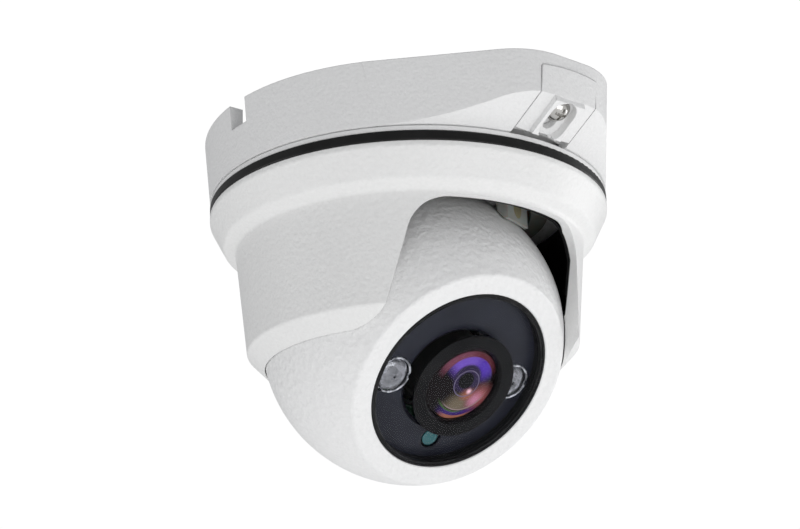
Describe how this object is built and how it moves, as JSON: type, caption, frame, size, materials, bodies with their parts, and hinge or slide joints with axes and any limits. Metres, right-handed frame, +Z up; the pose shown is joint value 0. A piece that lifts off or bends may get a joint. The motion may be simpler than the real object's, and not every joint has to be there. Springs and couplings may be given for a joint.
{
  "type": "dome cctv camera",
  "caption": "Ceiling dome camera: round base with a latch nose, turning cowl with a cut-out, and an aimed ball with a lens window and infrared lamps.",
  "frame": {"origin": "centre of the round base on its ceiling face, on the axis that the head turns about", "axes": "+Z up into the ceiling, -Y towards the latch nose and the side the lens looks to, +X to the right seen from the front"},
  "size_m": [0.1129, 0.1243, 0.0953],
  "materials": {
    "painted_white": "fine-grain white powder coat",
    "black_rubber": "satin black rubber",
    "chrome": "polished plated steel",
    "steel": "plain steel",
    "white_nylon": "natural nylon",
    "beige_pad": "soft pad",
    "black_plastic": "matt black plastic",
    "mask_black": "dark satin plastic",
    "clear_glass": "flat clear glass",
    "clear_plastic": "clear moulded lens",
    "coated_glass": "coated lens glass",
    "sensor_teal": "tinted sensor window",
    "circuit_board": "green solder mask",
    "emitter": "lamp package",
    "lens_black": "black anodised",
    "grey_plastic": "grey plastic",
    "brass": "turned brass",
    "silicon": "image sensor package"
  },
  "bodies": {
    "base": {"base_housing": "painted_white", "cable_grommet": "black_rubber"},
    "latch": {"latch_slider": "painted_white"},
    "latch_screw": {"latch_screw": "chrome"},
    "head": {"carrier_ring": "painted_white", "seal_ring": "black_rubber", "retainer_ring": "steel", "retainer_screws": "steel", "cover": "painted_white", "cover_screws": "steel", "inner_shroud": "black_plastic", "wave_spring": "steel"},
    "bracket": {"ball_bracket": "white_nylon", "bracket_pads": "beige_pad"},
    "cradle": {"tilt_hub": "black_plastic", "hub_nut": "brass"},
    "ball": {"ball_front_shell": "painted_white", "ball_rear_shell": "painted_white", "shell_seal": "black_rubber", "window_retainer": "black_plastic", "window_gasket": "black_rubber", "window_glass": "clear_glass", "led_mask": "mask_black", "led_board": "circuit_board", "ir_leds": "emitter", "light_sensor": "sensor_teal", "led_lens_left": "clear_plastic", "led_lens_right": "clear_plastic", "chassis_posts": "brass", "mask_pillars": "black_plastic", "sensor_board": "circuit_board", "main_board": "circuit_board", "board_standoffs": "brass", "board_screws": "steel", "board_connectors": "grey_plastic", "lens_barrel": "lens_black", "front_lens": "coated_glass", "inner_lens": "coated_glass", "rear_lens": "coated_glass", "lens_holder": "black_plastic", "image_sensor": "silicon"},
    "focus_ring": {"focus_ring": "lens_black"},
    "zoom_ring": {"zoom_ring": "lens_black"},
    "ircut_shutter": {"ircut_shutter": "steel"}
  },
  "joints": [
    {"name": "latch_slide", "type": "slide", "parent": "base", "child": "latch", "axis": [0, -0.8738, 0.4863], "range_m": [0, 0.004]},
    {"name": "latch_screw_turn", "type": "hinge", "parent": "base", "child": "latch_screw", "pos_m": [0, -0.06239, -0.01299], "axis": [0, -0.4863, -0.8738], "range_deg": [0, 720]},
    {"name": "head_turn", "type": "hinge", "parent": "base", "child": "head", "pos_m": [0, 0, 0], "axis": [0, 0, 1], "range_deg": [-175, 175]},
    {"name": "lens_pan", "type": "hinge", "parent": "head", "child": "bracket", "pos_m": [0, 0, -0.0544], "axis": [0, 0, 1], "range_deg": [-20, 20]},
    {"name": "tilt", "type": "hinge", "parent": "bracket", "child": "cradle", "pos_m": [0, 0, -0.0544], "axis": [1, 0, 0], "range_deg": [-24, 45]},
    {"name": "lens_roll", "type": "hinge", "parent": "cradle", "child": "ball", "pos_m": [0, 0, -0.0544], "axis": [0, -0.7206, -0.6934], "range_deg": [-170, 170]},
    {"name": "focus_turn", "type": "hinge", "parent": "ball", "child": "focus_ring", "pos_m": [0.00214, 0.00082, -0.05525], "axis": [0, -0.7206, -0.6934], "range_deg": [-30, 30]},
    {"name": "zoom_turn", "type": "hinge", "parent": "ball", "child": "zoom_ring", "pos_m": [0.00214, 0.00082, -0.05525], "axis": [0, -0.7206, -0.6934], "range_deg": [-30, 30]},
    {"name": "ircut_slide", "type": "slide", "parent": "ball", "child": "ircut_shutter", "axis": [-0.9945, 0.0725, -0.0753], "range_m": [0, 0.006]}
  ]
}
